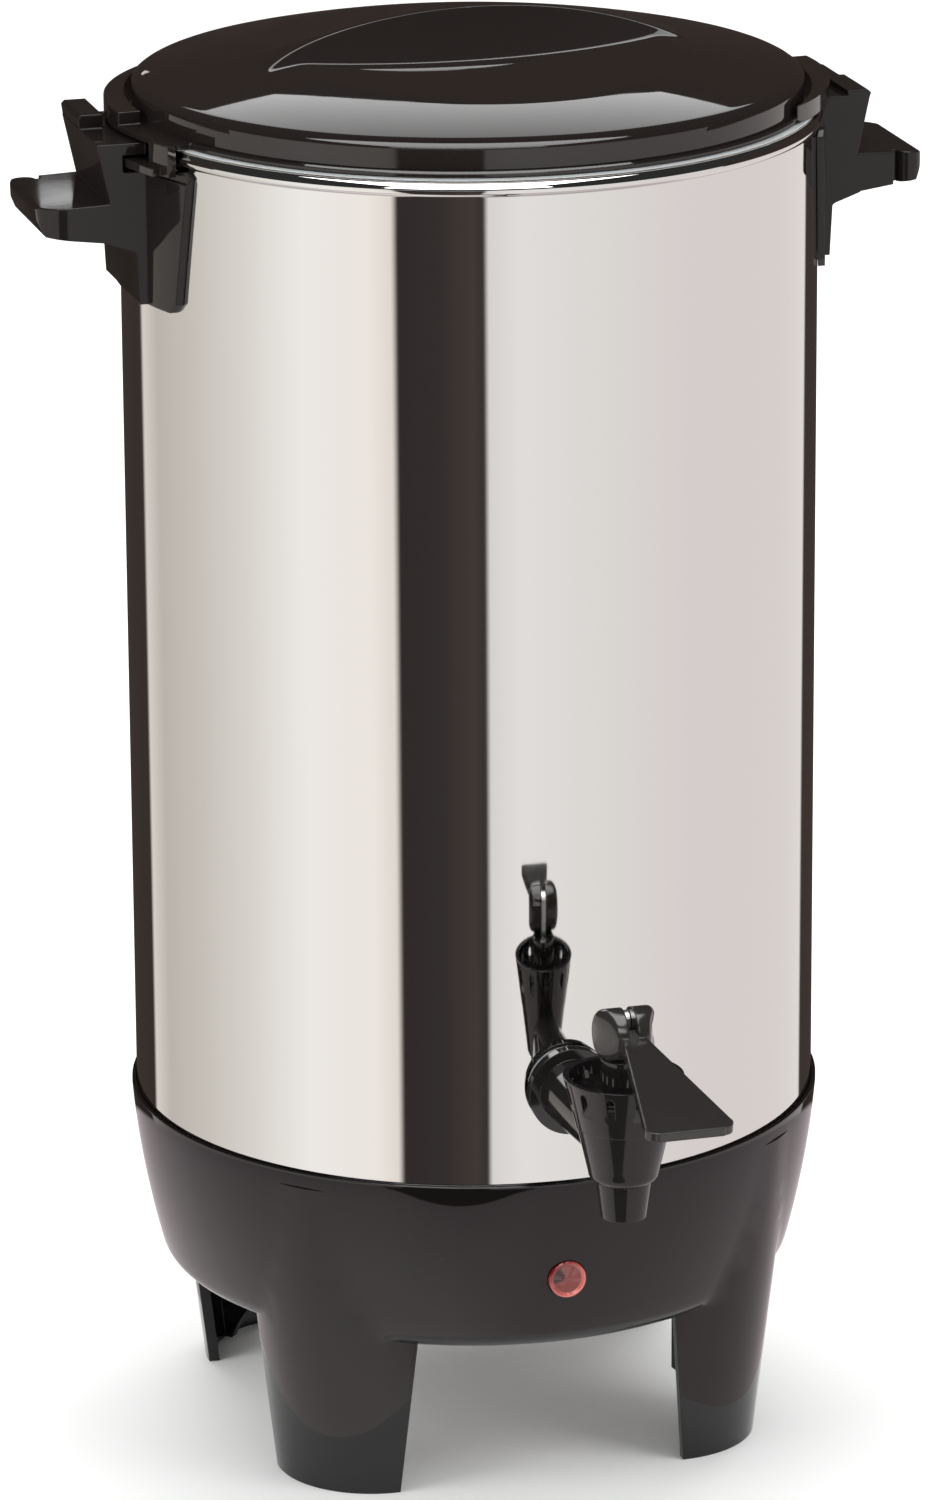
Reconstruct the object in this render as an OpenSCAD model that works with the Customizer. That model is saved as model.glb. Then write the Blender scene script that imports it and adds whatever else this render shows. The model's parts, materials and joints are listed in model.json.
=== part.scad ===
// Percolating coffee urn: a polished steel tank on a four-legged base, with a turn-and-lift lid,
// two side handles, a self-closing tap, and a pump tube and basket inside.
// The origin is on the tank's axis, on the table. The tap points along -Y, the handles along X.

/* [Tank] */
// Outside radius of the tank's wall
tank_r = 110; // [104:1:116]
// Thickness of the tank's sheet steel
sheet = 0.8; // [0.6:0.1:1]
// Height of the wall that shows between the base and the rim
tank_show = 321; // [300:1:350]
// Depth of the wall that stands inside the base's lip
tank_seat = 6; // [5:0.5:7]
// Radius of the rolled bead at the rim
bead_r = 2.4; // [2.2:0.1:2.6]
// Height of the tank's floor above the wall's lower edge
floor_up = 14; // [12:1:16]
// Radius of the pressed corner between the floor and its flange
floor_round = 5; // [3:0.5:6]
// Inside radius of the well in the middle of the floor
well_r = 26; // [25:0.5:28]
// Depth of the well
well_depth = 8; // [7:0.5:9]

/* [Base] */
// Height of the bowl's underside above the table
base_lift = 53; // [48:1:60]
// Height of the bowl from its underside to its lip
base_depth = 59; // [56:1:64]
// Thickness of the moulded walls
base_wall = 2.6; // [2.2:0.1:3]
// Width of the lip outside the tank's wall
lip_w = 1.5; // [1.3:0.1:1.9]
// Height of the straight band at the lip
lip_h = 2; // [1:0.5:4]
// Radius of the curve of the bowl's side
side_r = 300; // [280:5:330]
// Radius of the bowl's bottom corner
corner_r = 8; // [6:0.5:10]
// Width of the bowl's flat underside outside the cover's opening
flange_w = 28.9; // [27:0.1:32]
// Overlap of the bottom cover on that underside
cover_lap = 6; // [5:0.5:7]
// Thickness of the bottom cover's sheet
cover_t = 1.2; // [1:0.1:1.5]
// Radius of the circle of studs under the floor
stud_circle = 60; // [57:1:61]
// Radius of a stud
stud_r = 2.5; // [2:0.1:3]

/* [Legs] */
// Distance from the tank's axis to a leg's own axis
leg_axis = 67.8; // [66:0.2:69]
// Outside radius of a leg where it stands
leg_r = 31.5; // [30:0.5:32]
// Growth of that radius for each millimetre of height
leg_flare = 0.116; // [0.1:0.002:0.12]
// Thickness of a leg's wall
leg_wall = 3.6; // [3:0.1:4]
// Half of the free width between two legs, at the side handles
side_gap = 46; // [44:0.5:48]
// Half of the free width between two legs, under the tap
front_gap = 47.4; // [45:0.2:49]
// Half of the clear width between the rear legs, at the floor
rear_gap = 49.9; // [48:0.1:51]
// Narrowing of that half width at the bowl
front_draft = 4.7; // [3:0.1:6]
// Thickness of a leg's web
web_t = 3; // [2.5:0.1:3.5]
// Radius of the hollow in the web's lower edge
web_arc = 40; // [38:1:44]

/* [Lid] */
// Height of the lid's crown above the rim
lid_rise = 24; // [22:0.5:26]
// Radius of the crown's curve
crown_r = 420; // [390:5:450]
// Radius of the shoulder round the crown
shoulder_r = 8; // [7:0.5:9]
// Thickness of the lid's wall
lid_wall = 2.4; // [2:0.1:2.6]
// Width of the rim band outside the skirt
band_step = 1; // [0.8:0.1:1.2]
// Width of the ledge outside the band
ledge_w = 2; // [1.6:0.1:2.2]
// Height of the ledge
ledge_h = 1.8; // [1.6:0.1:2]
// Depth of the skirt below the rim
skirt_deep = 9; // [8:0.5:10]
// Height of the grip's ridge above the rim
ridge_up = 31.2; // [30:0.2:32]
// Radius of the ridge's curve
ridge_r = 195; // [185:5:205]
// Half of the ridge's width
ridge_half = 1.2; // [1:0.1:1.5]
// Turn of the ridge from the handles' line, in degrees
ridge_turn = 3.5; // [0:0.5:5]
// Distance from the ridge to the foot of the grip's side
foot_out = 27.3; // [26:0.1:29]
// Height of that foot above the rim
foot_up = 19.7; // [19:0.1:20]
// Radius of that foot's curve, seen from above
sweep_r = 125; // [120:1:130]
// Radius of the hollow in the grip's side
hollow_r = 150; // [120:10:200]
// Slope of the floor outside the foot, in degrees
floor_slope = 3.1; // [2.5:0.1:3.5]
// Width of the seal between the skirt and the rim
seal_w = 2; // [1.8:0.1:2.2]
// Thickness of the seal's lip
seal_lip = 0.4; // [0.3:0.05:0.5]

/* [Lid ears] */
// Difference between the tank's radius and that of an ear's outline
ear_inset = 25; // [24:0.5:26]
// Reach of an ear beyond the tank's wall
ear_reach = 5; // [4.6:0.1:5.2]
// Top of an ear above the rim
ear_top = 2.6; // [2.4:0.1:2.8]
// Height of the wall on an ear above the rim
ear_wall_top = 6.5; // [6:0.1:7]
// Thickness of the hook that reaches under a handle
tab_t = 2.6; // [2.2:0.1:2.8]
// Depth of the hook's underside below the rim
tab_down = 7.2; // [7:0.1:7.4]

/* [Handles] */
// Half of a handle's width
grip_half = 24; // [22:0.5:26]
// Reach of a handle beyond the tank's wall
grip_reach = 33; // [31:0.5:38]
// Thickness of a grip at its root
grip_root_t = 12.6; // [11:0.2:14]
// Thickness of a grip at its outer edge
grip_edge_t = 8.8; // [8:0.2:10]
// Depth of a handle's back plate below the rim
plate_deep = 51; // [48:1:54]
// Thickness of the back plate
plate_t = 2.25; // [2:0.05:2.4]
// Half of the back plate's angle at its top
plate_angle = 25; // [23:0.5:27]
// Height of the left handle's rear block above the rim
block_left = 4.4; // [4:0.2:6]
// Height of the right handle's front block above the rim
block_right = 1.6; // [1.4:0.2:2.4]
// Thickness of the tongue over the lid's hook
tongue_t = 3.6; // [3.2:0.1:3.8]

/* [Tap] */
// Height of the tap hole above the base's lip
tap_up = 31.5; // [29:0.5:36]
// Distance from the tank's wall to the tap's own axis
tap_reach = 59; // [56:1:64]
// Radius of the tap's threaded shank
shank_r = 7.9; // [7.4:0.1:8.4]
// Radius of the tap's flange
tap_flange_r = 14; // [13:0.5:15]
// Thickness of the washers on the tank's wall
washer_t = 1.5; // [1.2:0.1:1.8]
// Outside radius of the barrel under its bonnet
barrel_r = 14.4; // [14:0.1:15]
// Radius of the bonnet's open rim
bonnet_r = 18.5; // [18:0.1:19]
// Radius of the spout's mouth
spout_r = 7; // [6.6:0.1:7.4]
// Radius of the valve's stem
stem_r = 2.2; // [2:0.1:2.4]
// Distance from the lever's pin to the middle of its round head
cam_off = 3.5; // [3:0.1:4]
// Radius of the lever's round head
cam_r = 8; // [7.6:0.1:8.4]
// Length of the lever from its pin
lever_l = 71; // [66:1:76]
// Half of the lever's width at its end
paddle_half = 13.3; // [12:0.1:15]
// Slope of the lever's paddle, in degrees
paddle_slope = 8.4; // [7:0.1:9]

/* [Pump and basket] */
// Outside radius of the pump tube
tube_r = 5.5; // [5:0.1:5.8]
// Height of the pump tube's mouth above the rim
tube_up = 7; // [4:0.5:8]
// Outside radius of the basket
basket_r = 74; // [70:1:80]
// Height of the basket
basket_h = 70; // [60:1:75]
// Depth of the basket's rim below the tank's rim
basket_down = 33; // [30:1:40]
// Thickness of the basket's sheet
basket_t = 0.7; // [0.6:0.05:0.9]
// Radius of a drain hole
drain_r = 1.4; // [1.2:0.1:1.6]

/* [Clearances] */
// Gap under a loose piece that rests on another
rest_gap = 0.2; // [0.15:0.05:0.3]
// Gap round a piece that slides or turns in another
slide_gap = 0.3; // [0.25:0.05:0.4]
// Radial gap of a running fit
run_gap = 0.08; // [0.05:0.01:0.1]

/* [Hidden] */
$fn = 96;
over = 1; // how far a cut runs past the surface that it opens
wall_gap = 0.08; // between the tank's wall and a washer pressed on it

// Heights above the table
base_top = base_lift + base_depth;
tank_foot = base_top - tank_seat;
rim = base_top + tank_show;
bead_z = rim - bead_r;
floor_z = tank_foot + floor_up;
well_z = floor_z - well_depth;
tap_z = base_top + tap_up;

// Radii about the tank's axis
tank_in = tank_r - sheet;
bead_mid = tank_r - 0.6;
bead_in = bead_mid - bead_r;
bead_out = bead_mid + bead_r;
lip_r = tank_r + lip_w;
socket_r = tank_r + rest_gap;

function polar(r, a) = [r * cos(a), r * sin(a)];
function arc(c, r, a0, a1, n) = [for (i = [0:n]) c + polar(r, a0 + (a1 - a0) * i / n)];

module ring(r0, r1, z0, z1) {
    rotate_extrude() translate([r0, z0]) square([r1 - r0, z1 - z0]);
}

// Part of a ring, from azimuth a0 to azimuth a1
module ring_part(r0, r1, z0, z1, a0, a1) {
    rotate([0, 0, a0]) rotate_extrude(angle = a1 - a0)
        translate([r0, z0]) square([r1 - r0, z1 - z0]);
}

// Fine solid cylinder that washers on the tank's wall are fitted to
module wall_cylinder(r) {
    cylinder(r = r, h = rim, $fn = 360);
}

// Places copies round the tank's axis
module around(n, first = 0) {
    for (i = [0:n - 1]) rotate([0, 0, first + 360 / n * i]) children();
}

// Turns a shape drawn along +Z to point out of the tank at the tap
module toward_front(z) {
    translate([0, 0, z]) rotate([90, 0, 0]) children();
}

// ---------------------------------------------------------------- tank

module tank_body() {
    color("gainsboro") difference() {
        union() {
            ring(tank_in, tank_r, tank_foot, bead_z - bead_r + sheet);
            rotate_extrude() translate([bead_mid, bead_z]) rolled_edge();
        }
        toward_front(tap_z) cylinder(r = shank_r + rest_gap, h = tank_r + over);
        handle_screw_places() cylinder(r = screw_r + rest_gap, h = 12, center = true);
    }
}

// Section of the rolled bead: a closed curl whose end stands clear of the wall
module rolled_edge() {
    difference() {
        circle(bead_r);
        circle(bead_r - sheet);
        polygon([[0, 0], polar(2 * bead_r, -62), polar(2 * bead_r, -38)]);
    }
}

module tank_bottom() {
    fc = [tank_in - floor_round, floor_z - floor_round];
    top = concat(
        [[tank_in, tank_foot + 2]], arc(fc, floor_round, 0, 90, 6),
        [[well_r + 5, floor_z], [well_r + 1, floor_z - 2], [well_r, well_z], [0, well_z]]);
    under = concat(
        [[0, well_z - sheet], [well_r + sheet, well_z - sheet], [well_r + 1 + sheet, floor_z - 2 - sheet],
         [well_r + 5, floor_z - sheet]],
        arc(fc, floor_round - sheet, 90, 0, 6), [[tank_in - sheet, tank_foot + 2]]);
    color("silver") rotate_extrude() polygon(concat(top, under));
}

stud_foot_t = 1.5;
nut_t = 4;
stud_low = base_lift - cover_t - nut_t - 2;

module base_studs() {
    color("silver") around(3, 30) translate([stud_circle, 0, 0]) {
        translate([0, 0, stud_low]) cylinder(r = stud_r, h = floor_z - sheet - stud_low);
        translate([0, 0, floor_z - sheet - stud_foot_t]) cylinder(r = 2.4 * stud_r, h = stud_foot_t);
    }
}

// ---------------------------------------------------------------- base

// Centre of the side's curve, which ends at the lip and runs into the bottom corner
side_top = base_top - lip_h;
bowl_draw = 8.6; // how far the bowl draws in from its lip to its bottom corner
corner_out = lip_r - bowl_draw - corner_r;
corner_c = [corner_out, base_lift + corner_r];
side_c = side_centre([lip_r, side_top], corner_c, side_r, corner_r);
cover_hole = corner_out - flange_w;
cover_r = cover_hole + cover_lap;

// The centre that lies side_r from the lip's point and side_r - r from the corner's centre
function side_centre(p, c, big, r) =
    let (d = norm(c - p), u = (c - p) / d,
         along = (big * big - (big - r) * (big - r) + d * d) / (2 * d))
    p + along * u + sqrt(big * big - along * along) * [u[1], -u[0]];

// Section of the solid bowl, moved inwards by inset
module bowl_section(inset, top) {
    d = corner_c - side_c;
    turn = atan2(d[1], d[0]);
    start = asin((side_top - side_c[1]) / (side_r - inset));
    polygon(concat(
        [[0, top], [side_c[0] + (side_r - inset) * cos(start), top]],
        arc(side_c, side_r - inset, start, turn, 9),
        arc(corner_c, corner_r - inset, turn, -90, 6),
        [[0, base_lift + inset]]));
}

module bowl_cavity() {
    rotate_extrude() intersection() {
        bowl_section(base_wall, base_top);
        square([lip_r, tank_foot]);
    }
}

leg_top = base_top - 5;

// Solid of revolution about a leg's own axis, moved inwards by inset
module leg_cone(inset) {
    translate([leg_axis, 0, -over * inset / leg_wall])
        cylinder(r1 = leg_r - inset, r2 = leg_r - inset + leg_flare * leg_top, h = leg_top);
}

web_in = cover_r + 2;
web_arc_c = [leg_axis + leg_r - web_arc - 3.5, -14];

module leg() {
    difference() {
        leg_cone(0);
        leg_cone(leg_wall);
    }
    intersection() {
        leg_cone(leg_wall / 2);
        rotate([90, 0, 0]) linear_extrude(web_t, center = true) difference() {
            translate([web_in, 0]) square([leg_axis + leg_r - web_in, base_lift + base_wall / 2]);
            translate(web_arc_c) circle(web_arc);
        }
    }
}

// The space between two neighbouring legs, from the middle to -Y
module leg_slot(half) {
    rotate([90, 0, 0]) linear_extrude(1.5 * tank_r)
        polygon([[-half, -over], [half, -over],
                 [half - front_draft, base_lift], [-half + front_draft, base_lift]]);
}

// The free space between the legs, under the bowl: one slot along Y and one along X
module leg_gaps() {
    leg_slot(front_gap);
    rotate([0, 0, 180]) leg_slot(rear_gap);
    translate([-1.5 * tank_r, -side_gap, -over]) cube([3 * tank_r, 2 * side_gap, base_lift + over]);
}

lamp_z = tap_z - 65;
lamp_r = 6;
inlet_z = base_lift + 27;
inlet_w = 46;
inlet_h = 27;
inlet_face = lip_r - 1;

module base_housing() {
    color([0.19, 0.18, 0.18]) difference() {
        union() {
            rotate_extrude() intersection() {
                bowl_section(0, base_top);
                square([2 * tank_r, base_top]);
            }
            difference() {
                around(4, 45) leg();
                leg_gaps();
            }
            translate([-inlet_w / 2 - 3, inlet_face - 16, inlet_z - inlet_h / 2 - 3])
                cube([inlet_w + 6, 16, inlet_h + 6]);
        }
        bowl_cavity();
        translate([0, 0, tank_foot]) cylinder(r = socket_r, h = tank_seat + over);
        translate([0, 0, base_lift - over]) cylinder(r = cover_hole, h = 2 * base_wall);
        toward_front(lamp_z) cylinder(r = lamp_r + rest_gap, h = tank_r + over);
        translate([-inlet_core_w / 2 - rest_gap, inlet_face - 30, inlet_z - inlet_core_h / 2 - rest_gap])
            cube([inlet_core_w + 2 * rest_gap, 30 + over, inlet_core_h + 2 * rest_gap]);
        inlet_screw_places() cylinder(r = inlet_screw_r + run_gap, h = 60, center = true);
    }
}

module bottom_cover() {
    color("darkgray") difference() {
        union() {
            ring(0, cover_r, base_lift - cover_t, base_lift);
            ring(cover_hole - 4, cover_hole - 4 + cover_t, base_lift - cover_t, base_lift + 3);
        }
        around(3, 30) translate([stud_circle, 0, base_lift - 5])
            cylinder(r = stud_r + rest_gap, h = 10, $fn = 32);
        around(12) for (r = [20, 30, 40]) translate([r, 0, base_lift - 5])
            cylinder(r = 2, h = 10, $fn = 24);
    }
}

module base_nuts() {
    color("silver") around(3, 30) translate([stud_circle, 0, base_lift - cover_t - nut_t]) difference() {
        cylinder(r = 2 * stud_r, h = nut_t, $fn = 6);
        translate([0, 0, -over]) cylinder(r = stud_r + run_gap, h = nut_t + 2 * over);
    }
}

// ---------------------------------------------------------------- heating

heater_t = 6;
element_r = 3.4;
element_circle = well_r - 2;
heater_low = well_z - sheet - heater_t;

module heater_plate() {
    color("lightgray") difference() {
        union() {
            ring(0, well_r + 5, heater_low, heater_low + heater_t);
            rotate_extrude() translate([element_circle - 5, heater_low - 2]) square([10, 2.5]);
        }
        rotate_extrude() translate([element_circle, heater_low - 2]) circle(element_r + run_gap);
        around(3, 90) translate([well_r + 1, 0, heater_low - 3]) cylinder(r = 1.6, h = 20, $fn = 24);
    }
}

// Sheathed element, cast into the plate's groove, with its two cold ends turned down
module heating_element() {
    color("dimgray") {
        rotate([0, 0, 20]) rotate_extrude(angle = 320)
            translate([element_circle, heater_low - 2]) circle(element_r);
        for (a = [20, -20]) rotate([0, 0, a]) translate([element_circle, 0, heater_low - 20]) {
            cylinder(r = element_r, h = 20 - 2);
            translate([0, 0, -8]) cylinder(r = 1.2, h = 8 + over, $fn = 24);
        }
    }
}

band_in = well_r + 18;
band_out = band_in + 9;

module keep_warm_heater() {
    color("tan") ring_part(band_in, band_out, floor_z - sheet - 2.5, floor_z - sheet, 100, 250);
}

module thermostat() {
    color("ivory") translate([band_in + 4, 0, floor_z - sheet]) {
        translate([0, 0, -3]) cylinder(r = 9.5, h = 3);
        translate([0, 0, -10]) cylinder(r = 8, h = 7 + over / 2);
        for (s = [-1, 1]) translate([s * 4.5 - 0.4, -3, -18]) cube([0.8, 6, 9]);
    }
}

module thermal_fuse() {
    color("silver") translate([0, 0, heater_low]) {
        translate([-7, 0, -2.2]) rotate([0, 90, 0]) cylinder(r = 2.2, h = 14);
        for (s = [-1, 1]) translate([s * 7, 0, -2.2]) rotate([0, s * 90, 0])
            cylinder(r = 0.6, h = 7, $fn = 24);
    }
}

// ---------------------------------------------------------------- lamp and inlet

// Outside radius of the bowl at the lamp's height
lamp_wall = side_c[0] + sqrt(side_r * side_r - pow(lamp_z - side_c[1], 2));
lamp_shoulder = lamp_wall - base_wall - 2;

module lamp_lens() {
    color("red") toward_front(lamp_z) {
        translate([0, 0, lamp_shoulder - 2]) cylinder(r = lamp_r + 1.5, h = 2);
        translate([0, 0, lamp_shoulder - 1]) cylinder(r = lamp_r, h = lamp_wall - lamp_shoulder + 1.6);
        translate([0, 0, lamp_wall + 0.6]) intersection() {
            translate([0, 0, -16]) sphere(r = 17.2);
            cylinder(r = lamp_r, h = 4);
        }
    }
}

module lamp_body() {
    color("ivory") toward_front(lamp_z) {
        translate([0, 0, lamp_shoulder - 20]) cylinder(r = lamp_r - 1, h = 18);
        for (s = [-1, 1]) translate([s * 3, 0, lamp_shoulder - 27]) cylinder(r = 0.8, h = 8, $fn = 24);
    }
}

inlet_core_w = 30;
inlet_core_h = 19;
inlet_core_l = 24;
inlet_flange_t = 2.2;
inlet_wall = 2;
inlet_screw_r = 1.5;
inlet_screw_gap = 38.5;
inlet_back = 5;
pin_r = 2.4;
pin_stub_r = 1.8;
pin_gap = 14.3;
pin_l = 15;

module inlet_screw_places() {
    for (s = [-1, 1]) translate([s * inlet_screw_gap / 2, inlet_face, inlet_z])
        rotate([90, 0, 0]) children();
}

module power_inlet() {
    color([0.12, 0.12, 0.12]) difference() {
        union() {
            translate([-inlet_w / 2, inlet_face, inlet_z - inlet_h / 2])
                cube([inlet_w, inlet_flange_t, inlet_h]);
            translate([-inlet_core_w / 2, inlet_face - inlet_core_l, inlet_z - inlet_core_h / 2])
                cube([inlet_core_w, inlet_core_l + over, inlet_core_h]);
        }
        translate([inlet_wall - inlet_core_w / 2, inlet_face - inlet_core_l + inlet_back,
                   inlet_z - inlet_core_h / 2 + inlet_wall])
            cube([inlet_core_w - 2 * inlet_wall, inlet_core_l + over, inlet_core_h - 2 * inlet_wall]);
        inlet_pin_places(inlet_face - inlet_core_l - over)
            cylinder(r = pin_stub_r, h = inlet_back + 2 * over);
        inlet_screw_places() cylinder(r = inlet_screw_r + run_gap, h = 20, center = true);
    }
}

module inlet_pin_places(y) {
    for (s = [-1, 1]) translate([s * pin_gap / 2, y, inlet_z]) rotate([-90, 0, 0]) children();
}

module inlet_pins() {
    color("silver") inlet_pin_places(inlet_face - inlet_core_l - inlet_back) {
        cylinder(r = pin_stub_r, h = 2 * inlet_back + over);
        translate([0, 0, 2 * inlet_back]) cylinder(r = pin_r, h = pin_l - pin_r);
        translate([0, 0, 2 * inlet_back + pin_l - pin_r]) sphere(r = pin_r);
    }
}

module inlet_screws() {
    color("silver") inlet_screw_places() {
        translate([0, 0, -inlet_flange_t - 1.8]) cylinder(r = 3, h = 1.8);
        translate([0, 0, -inlet_flange_t - over / 2]) cylinder(r = inlet_screw_r, h = 14);
    }
}

// ---------------------------------------------------------------- tap

tap_y = tank_r + tap_reach;
flange_y = tank_r + washer_t;
flange_t = 3.4;
bore_r = 5;
barrel_top = tap_z + 8.5;
barrel_low = tap_z - 9.5;
spout_low = tap_z - 21.2;
collar_r = barrel_r - 2;
collar_h = 8.6;
cup_top = barrel_top + 15.9;
hub_top = cup_top + 6.4;
hub_r = 7;
cup_roof = barrel_top + collar_h + 1;
seat_z = barrel_low + 3;
shank_in = 15;

module at_tap() {
    translate([0, -tap_y, 0]) children();
}

module tap_body() {
    color([0.13, 0.12, 0.12]) difference() {
        union() {
            toward_front(tap_z) {
                translate([0, 0, tank_r - shank_in]) cylinder(r = shank_r, h = shank_in + washer_t + over);
                translate([0, 0, flange_y]) cylinder(r = tap_flange_r, h = flange_t);
                translate([0, 0, flange_y]) cylinder(r1 = 10.8, r2 = 7.5, h = tap_reach - washer_t);
            }
            at_tap() rotate_extrude() polygon(concat(
                [[0, spout_low], [spout_r, spout_low], [spout_r + 1.6, barrel_low]],
                arc([barrel_r - 6.5, barrel_low + 3], 3, -90, 0, 5),
                [[barrel_r, barrel_top], [collar_r, barrel_top], [collar_r, barrel_top + collar_h],
                 [0, barrel_top + collar_h]]));
        }
        toward_front(tap_z) translate([0, 0, tank_r - shank_in - over])
            cylinder(r = bore_r, h = shank_in + tap_reach);
        at_tap() {
            translate([0, 0, seat_z]) cylinder(r = collar_r - 2, h = 60);
            translate([0, 0, spout_low - over]) cylinder(r = spout_r - 2, h = 60);
        }
    }
}

module washer_blank(z0, z1) {
    toward_front(tap_z) translate([0, 0, z0]) difference() {
        cylinder(r = tap_flange_r - 1, h = z1 - z0);
        translate([0, 0, -over]) cylinder(r = shank_r + run_gap, h = z1 - z0 + 2 * over);
    }
}

module tap_washer_outer() {
    color("whitesmoke") difference() {
        washer_blank(tank_r - 3, flange_y);
        wall_cylinder(tank_r + wall_gap);
    }
}

module tap_washer_inner() {
    color("whitesmoke") intersection() {
        washer_blank(tank_in - 3, tank_in);
        wall_cylinder(tank_in - wall_gap);
    }
}

module tap_nut() {
    color("silver") toward_front(tap_z) translate([0, 0, tank_in - 3 - 5]) difference() {
        cylinder(r = tap_flange_r - 1, h = 5, $fn = 6);
        translate([0, 0, -over]) cylinder(r = shank_r + run_gap, h = 5 + 2 * over);
    }
}

slot_count = 12;

module tap_bonnet() {
    color([0.13, 0.12, 0.12]) at_tap() difference() {
        rotate_extrude() polygon([
            [stem_r + run_gap, cup_roof], [barrel_r - 1.8 + rest_gap, cup_roof],
            [barrel_r - 1.8 + rest_gap, barrel_top], [barrel_r + 0.2, barrel_top],
            [bonnet_r, cup_top], [bonnet_r - 2, cup_top], [bonnet_r - 3, cup_top - 5],
            [hub_r, cup_top - 5], [hub_r, hub_top - 0.8], [hub_r - 0.8, hub_top],
            [stem_r + run_gap, hub_top]]);
        around(slot_count) translate([(barrel_r + bonnet_r) / 2 - 0.4, 0, (barrel_top + cup_top) / 2])
            rotate([0, 90 - 13.5, 0]) grip_slot();
    }
}

// Upright oval cut in the bonnet's side
module grip_slot() {
    linear_extrude(4) {
        for (s = [-1, 1]) translate([s * 4, 0]) circle(1.3, $fn = 24);
        square([8, 2.6], center = true);
    }
}

pin_z = hub_top + rest_gap / 2 + cam_r;
lever_pin_r = 1.5;
tongue_w = 2.6;
fork_gap = tongue_w + 2 * rest_gap;
cheek_w = 8;

// Rod with a button in the seat cup below, and a flat tongue for the lever's pin above
module valve_stem() {
    tongue_half = 3.2;
    neck_half = 0.8 * stem_r;
    color("silver") at_tap() difference() {
        union() {
            translate([0, 0, seat_z + 2.5]) cylinder(r = stem_r, h = hub_top - 2 - seat_z - 2.5);
            translate([0, 0, seat_z + 2.5]) cylinder(r = stem_r + 1.2, h = 2);
            translate([-tongue_w / 2, -neck_half, hub_top - 3]) cube([tongue_w, 2 * neck_half, cam_r]);
            translate([-tongue_w / 2, -tongue_half, pin_z - tongue_half])
                cube([tongue_w, 2 * tongue_half, tongue_half + cam_r - 3.6]);
            translate([0, 0, pin_z + cam_r - 5.2]) rotate([0, 90, 0])
                cylinder(r = tongue_half, h = tongue_w, center = true);
        }
        translate([0, 0, pin_z]) rotate([0, 90, 0]) cylinder(r = lever_pin_r, h = 10, center = true);
    }
}

// Silicone cup: its rim is held under the bonnet and its foot closes the spout
module seat_cup() {
    r = stem_r + run_gap;
    foot = seat_z + 0.05;
    color("whitesmoke") at_tap() rotate_extrude() polygon([
        [0, foot], [spout_r, foot], [spout_r + 0.6, foot + 2.5], [spout_r - 2.4, foot + 8],
        [collar_r - 3.4, cup_roof - 3], [collar_r - 2.4, cup_roof - 1], [collar_r - 0.4, cup_roof - 1],
        [collar_r - 0.4, cup_roof], [collar_r - 4.4, cup_roof - 0.1], [spout_r - 3.2, foot + 8.5],
        [r, foot + 7], [r, foot + 4.6], [stem_r + 1.3, foot + 4.5],
        [stem_r + 1.3, foot + 2.4], [0, foot + 2.4]]);
}

module lever_pin() {
    color("silver") at_tap() translate([0, 0, pin_z]) rotate([0, 90, 0])
        cylinder(r = lever_pin_r, h = fork_gap + 2 * cheek_w - 3, center = true);
}

head_half = fork_gap / 2 + cheek_w;
paddle_lift = 2.6;
root_half = 3.6;
plate_top = 1.9;
side_t = 1.8;

// Plan of the paddle, from its root to its end, moved inwards by inset; X runs outwards
module paddle_plan(inset) {
    l = lever_l - inset;
    w = paddle_half - inset;
    c = 4;
    polygon([[0, root_half - inset / 2], [l - c, w - 0.4], [l, w - c], [l, c - w], [l - c, 0.4 - w],
             [0, inset / 2 - root_half]]);
    for (s = [-1, 1]) translate([l - c, s * (w - c)]) circle(c - 0.4);
}

// Side view of the paddle above a floor that rises towards its end
module paddle_side(deep_root, deep_end, top) {
    polygon([[0, -deep_root], [lever_l + over, -deep_end], [lever_l + over, top], [0, top]]);
}

module tap_lever() {
    color([0.13, 0.12, 0.12]) at_tap() translate([0, 0, pin_z]) rotate([0, 0, -90]) difference() {
        union() {
            translate([cam_off, 0, 0]) rotate([90, 0, 0]) rotate_extrude() polygon(concat(
                [[0, -head_half]], arc([cam_r - 3, -head_half + 3], 3, -90, 0, 5),
                arc([cam_r - 3, head_half - 3], 3, 0, 90, 5), [[0, head_half]]));
            rotate([0, paddle_slope, 0]) translate([0, 0, paddle_lift]) paddle();
        }
        translate([6 - 2 * cam_r, -fork_gap / 2, -2 * cam_r]) cube([2 * cam_r, fork_gap, 4 * cam_r]);
        rotate([0, paddle_slope, 0]) translate([0, -fork_gap / 2, paddle_lift])
            cube([2 * cam_r, fork_gap, 2 * cam_r]);
        rotate([90, 0, 0])
            cylinder(r = lever_pin_r + run_gap, h = fork_gap + 2 * cheek_w - 2.6, center = true);
    }
}

module paddle() {
    difference() {
        intersection() {
            linear_extrude(30, center = true) paddle_plan(0);
            rotate([90, 0, 0]) linear_extrude(60, center = true) paddle_side(5, 2.8, 0);
        }
        intersection() {
            translate([cam_off + cam_r, 0, 0]) linear_extrude(30, center = true) hollow_plan();
            rotate([90, 0, 0]) linear_extrude(60, center = true) paddle_side(30, 30, -plate_top);
        }
    }
}

// Plan of the hollow under the paddle
module hollow_plan() {
    l = lever_l - cam_off - cam_r - side_t;
    w = paddle_half - side_t;
    polygon([[0, root_half - side_t / 2], [l - 3, w - 0.6], [l, w - 3], [l, 3 - w], [l - 3, 0.6 - w],
             [0, side_t / 2 - root_half]]);
}

// ---------------------------------------------------------------- handles

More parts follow.
